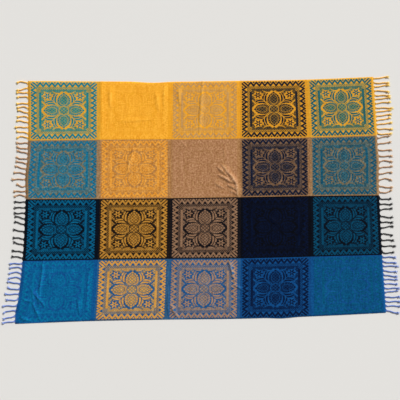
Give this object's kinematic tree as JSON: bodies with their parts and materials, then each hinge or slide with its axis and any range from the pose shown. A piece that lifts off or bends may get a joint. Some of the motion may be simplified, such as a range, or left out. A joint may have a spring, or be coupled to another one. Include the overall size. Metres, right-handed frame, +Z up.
{
  "type": "fringed woven blanket",
  "caption": "Flat-laid jacquard throw in warp stripes and weft bands of gold, tan, black and blue, with knotted twisted fringe on both ends and a few soft creases.",
  "frame": {"origin": "on the floor under the middle of the cloth", "axes": "+X along the warp, from the left fringe to the right one; +Y across the warp stripes, from the blue one to the gold one; +Z up"},
  "size_m": [2.2262, 1.3907, 0.0138],
  "materials": {
    "woven_cloth": "matt jacquard weave",
    "gold_yarn": "matt twisted yarn",
    "tan_yarn": "matt twisted yarn",
    "black_yarn": "matt twisted yarn",
    "blue_yarn": "matt twisted yarn"
  },
  "bodies": {
    "root": {"woven_cloth": "woven_cloth", "fringe_left_gold": "gold_yarn", "fringe_left_tan": "tan_yarn", "fringe_left_black": "black_yarn", "fringe_left_blue": "blue_yarn", "fringe_right_gold": "gold_yarn", "fringe_right_tan": "tan_yarn", "fringe_right_black": "black_yarn", "fringe_right_blue": "blue_yarn"}
  },
  "joints": []
}
